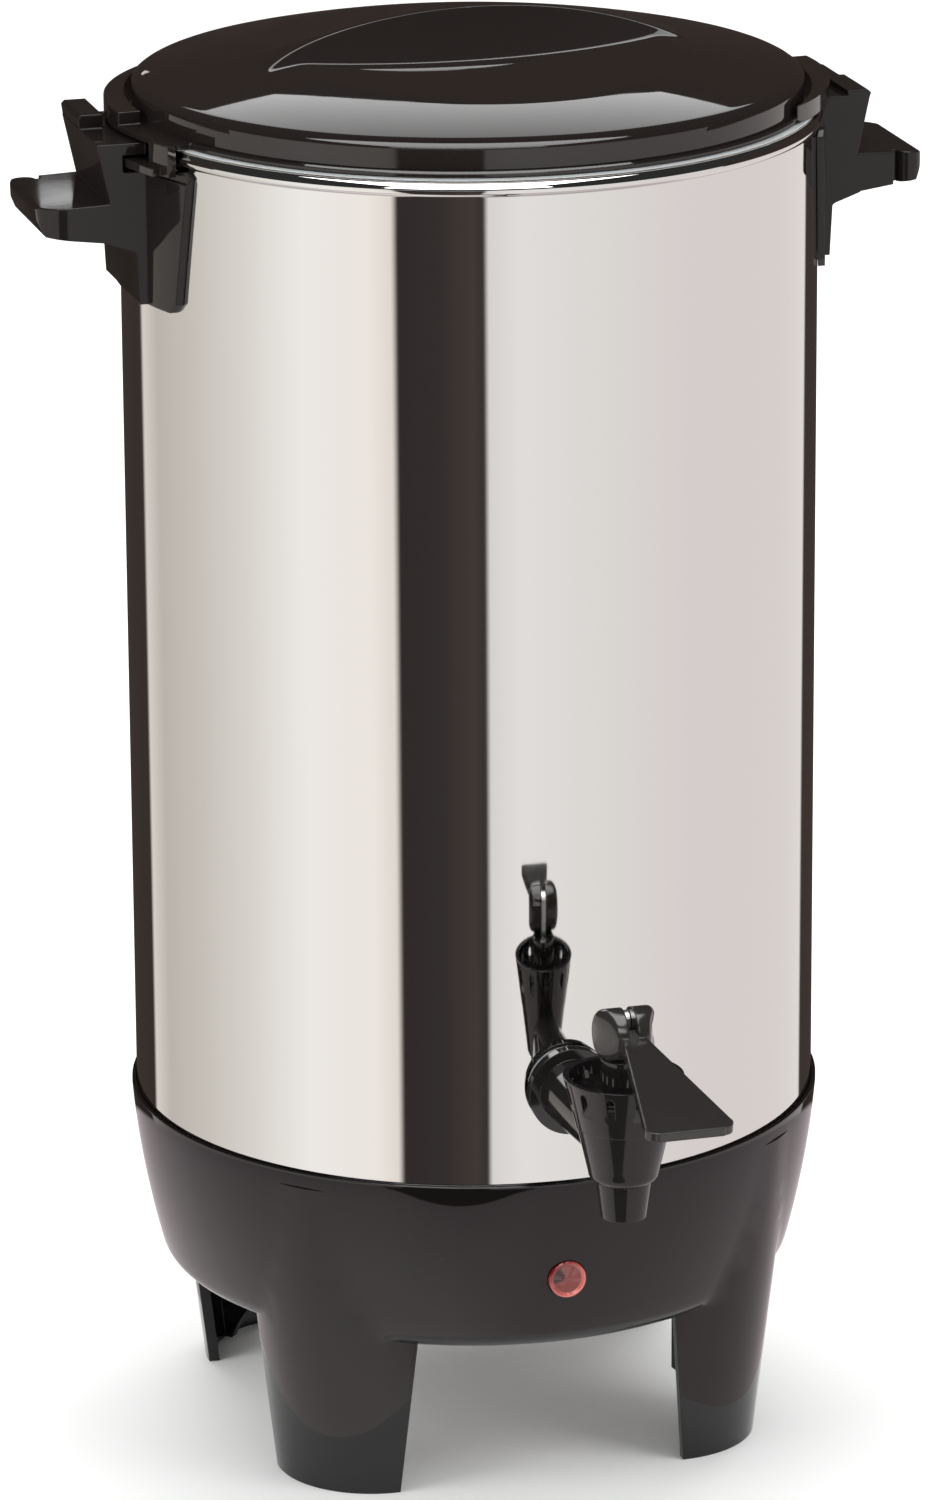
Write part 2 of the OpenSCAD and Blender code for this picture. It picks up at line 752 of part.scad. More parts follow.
screw_r = 2;
screw_high = rim - 15;
screw_low = rim - 27;
grip_x = tank_r + grip_reach;
tower_x = tank_r + 11;
ear_x = tank_r + ear_reach;
ear_r = tank_r - ear_inset;
block_x = ear_x + 2.6;
grip_top = rim - 18.7;
slot_top = rim - tongue_t;
slot_low = rim - 9;
slot_out = ear_x + 4.2;
plate_r = tank_r + 0.15;

// The two screws of each handle, with +Z pointing into the tank
module handle_screw_places() {
    for (s = [-1, 1]) for (z = [screw_low, screw_high])
        translate([s * tank_r, 0, z]) rotate([0, -s * 90, 0]) children();
}

module handle(block_h) {
    difference() {
        union() {
            back_plate();
            tower(block_h);
            grip();
        }
        // clears the wall, the rim's bead and the lid's hook
        cylinder(r = plate_r, h = rim - 2 * bead_r);
        translate([0, 0, rim - 2 * bead_r - 0.4]) cylinder(r = bead_out + slide_gap, h = 40);
        hook_slot();
        for (z = [screw_low, screw_high]) translate([-tank_r, 0, z]) rotate([0, -90, 0])
            cylinder(r = screw_r, h = 10);
    }
}

module back_plate() {
    top_w = plate_r * sin(plate_angle);
    low_w = plate_r * sin(plate_angle - 3.5);
    low = rim - plate_deep;
    intersection() {
        ring_part(plate_r - 1, plate_r + plate_t, low, rim - 5, 150, 210);
        rotate([90, 0, -90]) linear_extrude(2 * tank_r) polygon([
            [-low_w + 3, low], [low_w - 3, low], [low_w, low + 3],
            [top_w, rim - 7.5], [top_w - 2, rim - 5.5],
            [grip_half, rim - 9], [-grip_half, rim - 9], [2 - top_w, rim - 5.5], [-top_w, rim - 7.5],
            [-low_w, low + 3]]);
    }
}

// The block that stands on the plate, drawn in side view and pushed out to the handle's width,
// and a wall behind the lid's ear that stands block_h above the rim
module tower(block_h) {
    low = rim - plate_deep;
    side(grip_half, -grip_half) polygon([
        [tank_r - 12, low], [tank_r + 2, low], [tank_r + 2.8, low + 16],
        [tank_r + 3.5, grip_top - grip_root_t - 3], [tower_x + 1, grip_top - grip_root_t],
        [tower_x, grip_top], [tower_x + 4, rim], [tank_r - 12, rim]]);
    side(grip_half, 0) polygon([
        [block_x, rim - over], [tower_x + 4 - 0.3, rim - over], [tower_x + 4.3, rim + block_h - 1],
        [tower_x + 3.3, rim + block_h], [block_x, rim + block_h]]);
}

// Pushes a side view, drawn outwards and up, from y1 to y0 on the left of the tank
module side(y0, y1) {
    translate([0, y0, 0]) rotate([90, 0, 0]) linear_extrude(y0 - y1) mirror([1, 0]) children();
}

module grip() {
    corner = 10;
    intersection() {
        side(grip_half, -grip_half) polygon([
            [tower_x - 1, grip_top], [grip_x - 1, grip_top - 0.8], [grip_x, grip_top - 1.8],
            [grip_x - 0.4, grip_top - grip_edge_t + 3], [grip_x - 2.2, grip_top - 1 - grip_edge_t],
            [tower_x - 1, grip_top - grip_root_t]]);
        translate([0, 0, rim - 60]) linear_extrude(60) {
            translate([-grip_x, -grip_half + corner]) square([grip_reach, 2 * grip_half - corner - 4]);
            translate([-grip_x + corner, -grip_half]) square([grip_reach - corner, 2 * grip_half]);
            translate([-grip_x + corner, -grip_half + corner]) circle(corner);
            translate([-grip_x + 4, grip_half - 4]) circle(4);
        }
    }
}

// Room for the lid's hook, open at the front and closed behind
module hook_slot() {
    intersection() {
        ring(bead_out, slot_out, slot_low, slot_top);
        translate([-1.5 * tank_r, -1.5 * tank_r, 0]) cube([1.5 * tank_r, 1.5 * tank_r - 3, 2 * rim]);
    }
}

module handle_left() {
    color([0.15, 0.14, 0.14]) handle(block_left);
}

module handle_right() {
    color([0.15, 0.14, 0.14]) rotate([0, 0, 180]) handle(block_right);
}

module handle_screws() {
    color("silver") handle_screw_places() {
        translate([0, 0, sheet + 1]) cylinder(r = 2 * screw_r, h = 2.2);
        translate([0, 0, -9]) cylinder(r = screw_r, h = 9 + sheet + 2);
    }
}

module screw_washers() {
    color("dimgray") difference() {
        handle_screw_places() difference() {
            translate([0, 0, sheet - 0.5]) cylinder(r = 2 * screw_r + 1, h = 1.5);
            cylinder(r = screw_r + run_gap, h = 5);
        }
        difference() {
            wall_cylinder(tank_r + 5);
            wall_cylinder(tank_in - wall_gap);
        }
    }
}

// ---------------------------------------------------------------- lid

seal_out = bead_in - slide_gap;
seal_in = seal_out - seal_w;
skirt_r = seal_in - rest_gap;
lid_low = rim + 2 * rest_gap + seal_lip;
band_r = skirt_r + band_step;
ledge_r = band_r + ledge_w;
crown_c = [0, rim + lid_rise - crown_r];
shoulder_x = band_r + 2.4 - shoulder_r;
shoulder_c = [shoulder_x, crown_c[1] + sqrt(pow(crown_r - shoulder_r, 2) - shoulder_x * shoulder_x)];
cap_c = [0, rim + ridge_up - ridge_r];
side_axis = sweep_r - foot_out;
ridge_end = [side_axis + ridge_half, rim + ridge_up];
foot_end = [sweep_r, rim + foot_up];

// Section of the crown and shoulder down to z, moved inwards by inset
module crown_section(inset, z) {
    d = shoulder_c - crown_c;
    turn = atan2(d[1], d[0]);
    intersection() {
        polygon(concat(
            [[0, z], [shoulder_x + shoulder_r - inset, z]],
            arc(shoulder_c, shoulder_r - inset, 0, turn, 8),
            arc(crown_c, crown_r - inset, turn, 90, 10)));
        translate([0, z]) square([band_r - inset, 2 * tank_r]);
    }
}

// Section of the round cap that bounds the grip's ridge, moved inwards by inset
module cap_section(inset) {
    reach = 0.7 * tank_r;
    polygon(concat(
        [[0, lid_low], [reach, lid_low]],
        arc(cap_c, ridge_r - inset, acos(reach / ridge_r), 90, 10)));
}

// Solid behind one side of the grip and under the floor in front of it, moved inwards by inset
module grip_side(inset) {
    chord = foot_end - ridge_end;
    tilt = atan2(chord[1], chord[0]);
    half = asin(norm(chord) / 2 / hollow_r);
    c = (ridge_end + foot_end) / 2 + hollow_r * cos(half) * [-sin(tilt), cos(tilt)];
    from = 270 + tilt - half;
    to = 270 + tilt + half;
    far = 2 * sweep_r;
    high = rim + 2 * ridge_up;
    start = c + polar(hollow_r + inset, from);
    edge = c + polar(hollow_r + inset, to);
    translate([0, side_axis, 0]) rotate_extrude($fn = 180) polygon(concat(
        [[0, lid_low - over], [0, high], [start[0], high]],
        arc(c, hollow_r + inset, from, to, 6),
        [[far, edge[1] - (far - edge[0]) * tan(floor_slope)], [far, lid_low - over]]));
}

// The lid's top with its grip, moved inwards by inset
module lid_top(inset) {
    intersection() {
        rotate_extrude() union() {
            crown_section(inset, lid_low);
            cap_section(inset);
        }
        rotate([0, 0, ridge_turn]) grip_side(inset);
        rotate([0, 0, ridge_turn + 180]) grip_side(inset);
    }
}

module lid_shell() {
    color([0.17, 0.16, 0.16]) {
        difference() {
            union() {
                lid_top(0);
                rotate_extrude() polygon([
                    [0, lid_low], [ledge_r, lid_low], [ledge_r, lid_low + ledge_h - 0.6],
                    [ledge_r - 0.8, lid_low + ledge_h], [0, lid_low + ledge_h]]);
                ring(0, skirt_r, rim - skirt_deep, lid_low);
            }
            lid_top(lid_wall);
            ring(0, band_r - lid_wall, rim - skirt_deep - over, lid_low + ledge_h);
        }
        around(2) ear();
    }
}

// The ear over the left handle: a flat step, a raised wall behind and a hook in front
module ear() {
    back = 142;
    front = 202;
    wall_in = tank_r - 2.2;
    wall_front = 186;
    lug_back = 196.7;
    hook_out = ear_x + 3.5;
    hook_in = bead_out + 3 * slide_gap;
    z1 = rim + ear_top;
    ear_slice(band_r - 1, lid_low, z1, back, front);
    ear_slice(wall_in, lid_low, rim + ear_wall_top, back + 2, wall_front - 1.5);
    ring_part(hook_in, hook_in + 3, rim - tab_down, z1, lug_back, front);
    ring_part(hook_in, hook_out, rim - tab_down, rim - tab_down + tab_t, 185, front - 2);
}

// A slice of the ear's round outline between two heights and two azimuths
module ear_slice(r0, z0, z1, a0, a1) {
    intersection() {
        ring_part(r0, ear_x + 1, z0, z1, a0, a1);
        translate([ear_r - ear_x, 0, z0 - over]) cylinder(r = ear_r, h = z1 - z0 + 2 * over, $fn = 180);
    }
}

module lid_seal() {
    color("gray") rotate_extrude() polygon([
        [seal_in, rim - 5], [seal_in + 0.8, rim - 5], [seal_out, rim - 3.6], [seal_out, rim + rest_gap],
        [tank_r - 0.5, rim + rest_gap], [tank_r - 0.5, rim + rest_gap + seal_lip],
        [seal_in, rim + rest_gap + seal_lip]]);
}

// ---------------------------------------------------------------- pump and basket

tube_wall = 0.7;
foot_z = well_z + rest_gap;
basket_top = rim - basket_down;
basket_low = basket_top - basket_h;
sleeve_r = tube_r + slide_gap;
foot_r = well_r - 4;

module pump_tube() {
    color("silver") {
        ring(tube_r - tube_wall, tube_r, foot_z + 6, rim + tube_up);
        ring(tube_r - tube_wall / 2, tube_r + 3, basket_low - 2, basket_low - rest_gap / 4);
    }
}

module pump_foot() {
    color("silver") difference() {
        rotate_extrude() polygon([
            [foot_r - 1, foot_z], [foot_r, foot_z], [foot_r, foot_z + 1.5], [foot_r - 5, foot_z + 4.5],
            [tube_r + 1.2, foot_z + 7], [tube_r + 1.2, foot_z + 11], [tube_r, foot_z + 11],
            [tube_r, foot_z + 6], [foot_r - 6, foot_z + 3.5], [foot_r - 1, foot_z + 1]]);
        around(4, 45) translate([foot_r, 0, foot_z]) rotate([0, 90, 0])
            cylinder(r = 1, h = 8, center = true, $fn = 24);
    }
}

// Rings of drain holes between two radii
module drain_holes(r0, r1, step) {
    for (r = [r0:step:r1]) around(floor(2 * PI * r / step)) translate([r, 0, 0])
        cylinder(r = drain_r, h = 6, center = true, $fn = 16);
}

module coffee_basket() {
    color("silver") difference() {
        union() {
            ring(basket_r - basket_t, basket_r, basket_low, basket_top);
            ring(basket_r - 0.1, basket_r + 1.4, basket_top - 1, basket_top);
            ring(sleeve_r, basket_r, basket_low, basket_low + basket_t);
            ring(sleeve_r, sleeve_r + basket_t, basket_low, basket_top - 2);
        }
        translate([0, 0, basket_low]) drain_holes(24, basket_r - 14, 18);
    }
}

module basket_cover() {
    color("silver") difference() {
        union() {
            ring(sleeve_r, basket_r + 1.4, basket_top + 0.05, basket_top + 0.05 + basket_t);
            ring(basket_r - 2.2, basket_r - 1.2, basket_top - 4, basket_top + 0.5);
            ring(sleeve_r, sleeve_r + 1, basket_top - 1, basket_top + 8);
        }
        translate([0, 0, basket_top]) drain_holes(24, basket_r - 14, 18);
    }
}

tank_body();
tank_bottom();
base_studs();
base_housing();
bottom_cover();
base_nuts();
heater_plate();
heating_element();
keep_warm_heater();
thermostat();
thermal_fuse();
lamp_lens();
lamp_body();
power_inlet();
inlet_pins();
inlet_screws();
tap_body();
tap_bonnet();
tap_washer_outer();
tap_washer_inner();
tap_nut();
valve_stem();
seat_cup();
lever_pin();
tap_lever();
handle_left();
handle_right();
handle_screws();
screw_washers();
lid_shell();
lid_seal();
pump_tube();
pump_foot();
coffee_basket();
basket_cover();
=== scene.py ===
import json
import math

import bmesh
import bpy
from mathutils import Matrix, Vector


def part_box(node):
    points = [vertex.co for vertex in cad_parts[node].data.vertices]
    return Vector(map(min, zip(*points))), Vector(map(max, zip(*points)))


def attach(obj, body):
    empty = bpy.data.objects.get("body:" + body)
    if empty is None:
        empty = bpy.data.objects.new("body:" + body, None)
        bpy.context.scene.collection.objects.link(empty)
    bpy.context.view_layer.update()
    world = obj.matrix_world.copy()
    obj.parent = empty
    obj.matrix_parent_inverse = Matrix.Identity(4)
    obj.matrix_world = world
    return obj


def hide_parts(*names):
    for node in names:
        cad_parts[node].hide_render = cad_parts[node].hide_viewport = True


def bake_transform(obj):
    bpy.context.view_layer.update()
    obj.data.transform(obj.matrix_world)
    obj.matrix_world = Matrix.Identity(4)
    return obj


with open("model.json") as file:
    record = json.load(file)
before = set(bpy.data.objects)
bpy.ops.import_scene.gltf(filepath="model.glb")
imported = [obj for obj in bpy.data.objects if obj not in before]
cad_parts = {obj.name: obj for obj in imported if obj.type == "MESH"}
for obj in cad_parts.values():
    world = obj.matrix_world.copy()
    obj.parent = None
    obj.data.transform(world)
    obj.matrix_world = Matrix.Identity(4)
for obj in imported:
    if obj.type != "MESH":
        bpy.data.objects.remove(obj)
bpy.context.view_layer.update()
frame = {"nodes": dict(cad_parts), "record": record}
nodes = frame["nodes"]
mm = 0.001
print("frame loaded:", len(nodes), "nodes")


class Wire:
    # one shader socket; arithmetic on it adds Math nodes
    def __init__(self, graph, socket):
        self.graph = graph
        self.socket = socket

    def maths(self, operation, first, second):
        return self.graph.node("ShaderNodeMath", {"operation": operation}, {0: first, 1: second})

    def __add__(self, other):
        return self.maths("ADD", self, other)

    def __radd__(self, other):
        return self.maths("ADD", other, self)

    def __sub__(self, other):
        return self.maths("SUBTRACT", self, other)

    def __rsub__(self, other):
        return self.maths("SUBTRACT", other, self)

    def __mul__(self, other):
        return self.maths("MULTIPLY", self, other)

    def __rmul__(self, other):
        return self.maths("MULTIPLY", other, self)


class Graph:
    # a node tree with one method that adds any node
    def __init__(self, tree):
        self.tree = tree

    def node(self, kind, settings=None, sockets=None, out=0):
        made = self.tree.nodes.new(kind)
        for name, value in (settings or {}).items():
            if name == "stops":
                ramp = made.color_ramp
                while len(ramp.elements) < len(value):
                    ramp.elements.new(0.5)
                for element, (position, shade) in zip(ramp.elements, value):
                    element.position = position
                    element.color = (shade, shade, shade, 1)
            else:
                setattr(made, name, value)
        self.feed(made, sockets or {})
        return Wire(self, made.outputs[out])

    def feed(self, made, sockets):
        for name, value in sockets.items():
            if isinstance(value, Wire):
                self.tree.links.new(value.socket, made.inputs[name])
            else:
                made.inputs[name].default_value = value


class Finish(Graph):
    # one material: a Principled shader fed from object coordinates in metres
    def __init__(self, name, look):
        self.material = bpy.data.materials.new(name)
        self.material.use_nodes = True
        super().__init__(self.material.node_tree)
        self.shader = self.tree.nodes["Principled BSDF"]
        self.place = self.node("ShaderNodeTexCoord", out="Object")
        self.material.diffuse_color = look.get("Base Color", (0.5, 0.5, 0.5, 1))
        self.feed(self.shader, look)

    def stretched(self, x, y, z):
        return self.node("ShaderNodeMapping", sockets={"Vector": self.place, "Scale": (x, y, z)})

    def noise(self, scale, detail=2.0, rough=0.5, place=None):
        return self.node("ShaderNodeTexNoise", sockets={
            "Vector": place or self.place, "Scale": scale, "Detail": detail, "Roughness": rough})

    def ramp(self, wire, *stops):
        return self.node("ShaderNodeValToRGB", {"stops": stops}, {"Fac": wire})

    def blend(self, factor, dark, light):
        return self.node("ShaderNodeMix", {"data_type": "RGBA"}, {0: factor, 6: dark, 7: light}, out=2)

    def bump(self, height, distance, strength=1.0, normal=None):
        sockets = {"Height": height, "Distance": distance, "Strength": strength}
        if normal:
            sockets["Normal"] = normal
        return self.node("ShaderNodeBump", sockets=sockets)

    def use(self, **wires):
        names = {"color": "Base Color", "roughness": "Roughness", "normal": "Normal"}
        self.feed(self.shader, {names[key]: wire for key, wire in wires.items()})
        return self.material


def rgb(red, green, blue):
    return (red, green, blue, 1)


view = {
    "place": (-614.1, -2199.4, 931.7),  # mm
    "turn": 15.6,  # degrees that the urn is turned away from the camera
    "pan": -0.00131,  # radians, as tilt and roll
    "tilt": 0.30187,
    "roll": -0.00644,
    "focal": 7418.97,  # in pixels of a 1500 pixel high frame
    "frameHeight": 1500,
    "sensor": 36,  # mm
    "clip": (0.1, 50),
}


def makeCamera():
    data = bpy.data.cameras.new("camera")
    data.sensor_width = view["sensor"]
    data.lens = view["focal"] * view["sensor"] / view["frameHeight"]
    data.clip_start, data.clip_end = view["clip"]
    heading = view["pan"] + math.radians(view["turn"])
    ahead = Vector((math.sin(heading) * math.cos(view["tilt"]),
                    math.cos(heading) * math.cos(view["tilt"]), -math.sin(view["tilt"])))
    right = Vector((math.cos(heading), -math.sin(heading), 0))
    up = right.cross(ahead)
    turn = Matrix.Rotation(-view["roll"], 3, ahead)
    right, up = turn @ right, turn @ up
    camera = bpy.data.objects.new("camera", data)
    camera.matrix_world = Matrix.Translation(Vector(view["place"]) * mm) @ Matrix(
        (right, up, -ahead)).transposed().to_4x4()
    bpy.context.scene.collection.objects.link(camera)
    bpy.context.scene.camera = camera


makeCamera()
print("camera placed")


studio = {
    "floorColor": rgb(0.94, 0.94, 0.935),
    "floorRadius": 9.0,
    "floorSides": 96,
    "fill": 0.8,  # world light on rough surfaces
    "gloom": 0.035,  # world light in reflections
    "drapeColor": rgb(0.035, 0.026, 0.022),
    "mirrorRadius": 110.0,  # mm, of the steel wall that shows the cloth
    "clothHeight": 0.5,  # mm
    "clothStep": 0.25,  # degrees
    # cloth beside the urn, which only the base shows: from the legs to the near edge of the stripes
    "nearReach": (0.02, 0.262, 0.276),
    "farReach": 4.0,
    "nearTone": (0.66, 0.58, 0.6),
    "nearTones": (
        (-90.0, 0.72, 0.64, 0.64), (-60.0, 1.12, 1.03, 1.02), (-5.0, 1.12, 1.03, 1.02),
        (12.0, 0.8, 0.71, 0.71), (90.0, 0.8, 0.71, 0.71)),
    # dark patch in it: middle and half width in degrees, depth in metres, tone
    "nearPatch": (-2.6, 12.5, 0.085, (0.02, 0.018, 0.018)),
    "patchEdge": 0.004,  # metres over which its tone changes
    # light of the floor cloth, by degrees round the tank from the camera
    "clothTones": (
        (-89.0, 0.050, 0.038, 0.034), (-68.6, 0.050, 0.038, 0.034),
        (-67.4, 0.92, 0.86, 0.80), (-61.5, 0.69, 0.65, 0.60), (-50.0, 0.82, 0.78, 0.72),
        (-38.0, 1.01, 0.98, 0.93), (-27.5, 1.23, 1.20, 1.16), (-16.0, 1.21, 1.16, 1.10),
        (-12.4, 1.09, 1.01, 0.94), (-11.4, 0.043, 0.035, 0.034), (-5.0, 0.047, 0.041, 0.040),
        (0.5, 0.078, 0.060, 0.054), (2.2, 0.052, 0.043, 0.043), (3.0, 0.98, 0.95, 0.95),
        (8.0, 1.10, 1.07, 1.06), (22.0, 1.02, 1.00, 0.98), (38.0, 0.98, 0.91, 0.91),
        (60.0, 0.96, 0.90, 0.88), (71.4, 0.97, 0.93, 0.90), (72.4, 0.055, 0.042, 0.038),
        (89.0, 0.055, 0.042, 0.038)),
    # drape, in metres: radius, lower and upper edge
    "backRadius": 1.35,
    "backFrom": 0.2,
    "backTo": 1.15,
    "backSpread": 190,  # degrees
    "backSides": 48,
    "panelColumns": 24,
    # panels that only reflections show: middle, low and high edge as (beyond the urn, height), width,
    # light of the low and high edge, and how much each edge is arched
    "panels": {
        "backPanel": (0, (1.75, 1.65), (1.75, 2.04), 1.16, 2.7, 1.3, 3.05, 1.3),
        "topPanel": (0, (0.45, 2.3), (-1.7, 2.3), 1.8, 5.5, 5.5, 0, 0),
        "frontPanel": (0, (-2.6, 1.2), (-2.6, 2.3), 2.6, 5.0, 5.0, 0, 0),
        "gripPanel": (-0.1565, (0.35, 0.506), (0.35, 0.5145), 0.012, 1.6, 1.6, 0, 0),
    },
    # place and target as (right, beyond, height), width, depth, watts
    "softboxes": {
        "backSoftbox": ((0, 1.75, 1.95), (0, 0, 0.35), 3.2, 0.9, 42),
        "leftSoftbox": ((-1.8, -1.0, 1.7), (0, 0, 0.2), 1.2, 1.2, 18),
        "rightSoftbox": ((1.8, -1.0, 1.7), (0, 0, 0.2), 1.2, 1.2, 18),
    },
}


def meshObject(name, points, faces, smooth=False):
    mesh = bpy.data.meshes.new(name)
    mesh.from_pydata([tuple(p) for p in points], [], faces)
    mesh.validate()
    mesh.update()
    made = bpy.data.objects.new(name, mesh)
    bpy.context.scene.collection.objects.link(made)
    if smooth:
        mesh.polygons.foreach_set("use_smooth", [True] * len(mesh.polygons))
    return made


def ribbon(count):
    # faces between pairs of low and high points
    return [(2 * i, 2 * i + 2, 2 * i + 3, 2 * i + 1) for i in range(count)]


def plainMaterial(name, color):
    return Finish(name, {"Base Color": color, "Roughness": 1.0, "Specular IOR Level": 0.0}).material


def onlyInReflections(made):
    made.visible_camera = made.visible_diffuse = made.visible_shadow = False
    made.visible_transmission = False


def aside(right, ahead, height):
    # a spot given as seen by the camera: right of the urn, beyond it, and above the floor, in metres
    turn = math.radians(view["turn"])
    return (right * math.cos(turn) + ahead * math.sin(turn),
            ahead * math.cos(turn) - right * math.sin(turn), height)


def makeFloor():
    count = studio["floorSides"]
    points = [(0, 0, 0)] + [
        (studio["floorRadius"] * math.cos(2 * math.pi * i / count),
         studio["floorRadius"] * math.sin(2 * math.pi * i / count), 0) for i in range(count)]
    floor = meshObject("floor", points, [(0, 1 + i, 1 + (i + 1) % count) for i in range(count)])
    floor.data.materials.append(plainMaterial("paleFloor", studio["floorColor"]))


def tinted(name, shade):
    # a surface that only gives light, with its tone painted on the corners of the mesh
    finish = Finish(name, {"Base Color": rgb(0, 0, 0), "Specular IOR Level": 0.0, "Emission Strength": 1.0})
    tone = finish.node("ShaderNodeVertexColor", {"layer_name": shade})
    finish.feed(finish.shader, {"Emission Color": tone})
    finish.material.cycles.emission_sampling = "NONE"
    return finish.material


def paint(made, shade, tones):
    layer = made.data.color_attributes.new(shade, "FLOAT_COLOR", "POINT")
    for spot, tone in zip(layer.data, tones):
        spot.color = (*tone, 1)


def between(stops, place):
    # the tone of a list of stops at a place along it
    for (start, *first), (end, *second) in zip(stops, stops[1:]):
        if place <= end:
            share = (place - start) / (end - start)
            return [a + (b - a) * share for a, b in zip(first, second)]
    return stops[-1][1:]


def makeFloorCloth():
    # the polished wall shows this fan of cloth as upright light and dark stripes
    eye = Vector(view["place"][:2]) * mm
    towards = eye.normalized()
    right = Vector((-towards.y, towards.x))
    stops = studio["clothTones"]
    first, last, step = stops[0][0], stops[-1][0], studio["clothStep"]
    count = round((last - first) / step)
    edge = studio["patchEdge"]
    legs, reachEnd, stripeStart = studio["nearReach"]
    patchMiddle, patchHalf, patchDepth, patchTone = studio["nearPatch"]
    points, tones = [], []
    for i in range(count + 1):
        degrees = first + step * i
        angle = math.radians(degrees)
        normal = math.cos(angle) * towards + math.sin(angle) * right
        start = studio["mirrorRadius"] * mm * normal
        ray = (start - eye).normalized()
        ray = ray - 2 * ray.dot(normal) * normal
        tone, near = between(stops, degrees), studio["nearTone"]
        share = 1 - ((degrees - patchMiddle) / patchHalf) ** 2
        patch = patchTone if share > 0 else near
        patchStart = reachEnd - patchDepth * max(0.0, share)
        reaches = (legs, patchStart - edge, patchStart, reachEnd + edge, stripeStart, studio["farReach"])
        shades = (between(studio["nearTones"], degrees), near, patch, patch, tone, tone)
        for reach, shade in zip(reaches, shades):
            spot = start + ray * reach
            points.append((spot.x, spot.y, studio["clothHeight"] * mm))
            tones.append(shade)
    rows = len(reaches)
    faces = [(rows * i + k, rows * i + k + 1, rows * i + rows + k + 1, rows * i + rows + k)
             for i in range(count) for k in range(rows - 1)]
    cloth = meshObject("floorCloth", points, faces)
    paint(cloth, "clothTone", tones)
    cloth.data.materials.append(tinted("floorCloth", "clothTone"))
    onlyInReflections(cloth)


def makeDrape():
    # dark drape round the back, for the lid's reflections
    towards = Vector(view["place"][:2]).normalized()
    count, spread = studio["backSides"], studio["backSpread"]
    start = math.atan2(-towards.y, -towards.x) - math.radians(spread / 2)
    points = []
    for i in range(count + 1):
        angle = start + math.radians(spread) * i / count
        spot = studio["backRadius"] * Vector((math.cos(angle), math.sin(angle)))
        points += [(spot.x, spot.y, studio["backFrom"]), (spot.x, spot.y, studio["backTo"])]
    drape = meshObject("backDrape", points, ribbon(count))
    drape.data.materials.append(plainMaterial("blackCloth", studio["drapeColor"]))
    onlyInReflections(drape)


def makePanels():
    columns = studio["panelColumns"]
    for name, (middle, low, high, width, first, last, lowArch, highArch) in studio["panels"].items():
        points = []
        for i in range(columns + 1):
            across = width * (i / columns - 0.5)
            points += [aside(middle + across, low[0], low[1] - lowArch * across * across),
                       aside(middle + across, high[0], high[1] - highArch * across * across)]
        panel = meshObject(name, points, ribbon(columns))
        paint(panel, "panelTone", [(first,) * 3, (last,) * 3] * (columns + 1))
        panel.data.materials.append(tinted(name, "panelTone"))
        onlyInReflections(panel)


def makeSoftboxes():
    for name, (place, target, width, depth, power) in studio["softboxes"].items():
        data = bpy.data.lights.new(name, "AREA")
        data.shape = "RECTANGLE"
        data.size, data.size_y = width, depth
        data.energy = power
        softbox = bpy.data.objects.new(name, data)
        softbox.location = aside(*place)
        softbox.rotation_mode = "QUATERNION"
        softbox.rotation_quaternion = (Vector(aside(*target)) - softbox.location).to_track_quat("-Z", "Y")
        softbox.visible_camera = softbox.visible_glossy = False
        bpy.context.scene.collection.objects.link(softbox)


def makeWorld():
    world = bpy.data.worlds.new("studio")
    bpy.context.scene.world = world
    world.use_nodes = True
    graph = Graph(world.node_tree)
    background = world.node_tree.nodes["Background"]
    seen = graph.node("ShaderNodeLightPath", out="Is Camera Ray")
    shiny = graph.node("ShaderNodeLightPath", out="Is Glossy Ray")
    through = graph.node("ShaderNodeLightPath", out="Is Transmission Ray")
    shown = graph.node("ShaderNodeMath", {"operation": "MAXIMUM"}, {0: seen, 1: shiny})
    shown = graph.node("ShaderNodeMath", {"operation": "MAXIMUM"}, {0: shown, 1: through})
    light = studio["fill"] + shown * (1 - studio["fill"]) - shiny * (1 - studio["gloom"])
    graph.feed(background, {"Color": rgb(1, 1, 1), "Strength": light})


makeFloor()
makeFloorCloth()
makeDrape()
makePanels()
makeWorld()
makeSoftboxes()
bpy.context.scene.view_settings.view_transform = "Standard"
print("studio lit")


def polishedSteel():
    finish = Finish("polishedSteel", {"Base Color": rgb(0.68, 0.67, 0.66), "Metallic": 1.0})
    smears = finish.noise(9, 3, place=finish.stretched(1, 1, 0.35))
    lines = finish.noise(900, 2, place=finish.stretched(0.02, 0.02, 1))
    sway = finish.noise(3.2, 1, place=finish.stretched(1, 1, 0.25))
    roughness = 0.03 + 0.03 * finish.ramp(smears, (0.42, 0), (0.7, 1))
    waves = finish.bump(sway, 0.0006, 0.5)
    return finish.use(roughness=roughness, normal=finish.bump(lines, 0.00001, 0.06, waves))


def brushedMetal(name, color, roughness, grain=(1, 1, 60)):
    finish = Finish(name, {"Metallic": 1.0})
    lines = finish.noise(120, 3, place=finish.stretched(*grain))
    patches = finish.noise(35, 3)
    tone = finish.blend(lines, rgb(*(0.82 * c for c in color)), rgb(*color))
    return finish.use(color=tone, roughness=roughness - 0.08 + 0.16 * patches,
                      normal=finish.bump(lines, 0.00004, 0.25))


def castMetal(name, color, roughness):
    finish = Finish(name, {"Metallic": 1.0})
    grains = finish.node("ShaderNodeTexVoronoi", sockets={"Vector": finish.place, "Scale": 900})
    cloud = finish.noise(60, 4)
    tone = finish.blend(cloud, rgb(*(0.75 * c for c in color)), rgb(*color))
    return finish.use(color=tone, roughness=roughness + 0.15 * cloud,
                      normal=finish.bump(grains, 0.00015, 0.35))


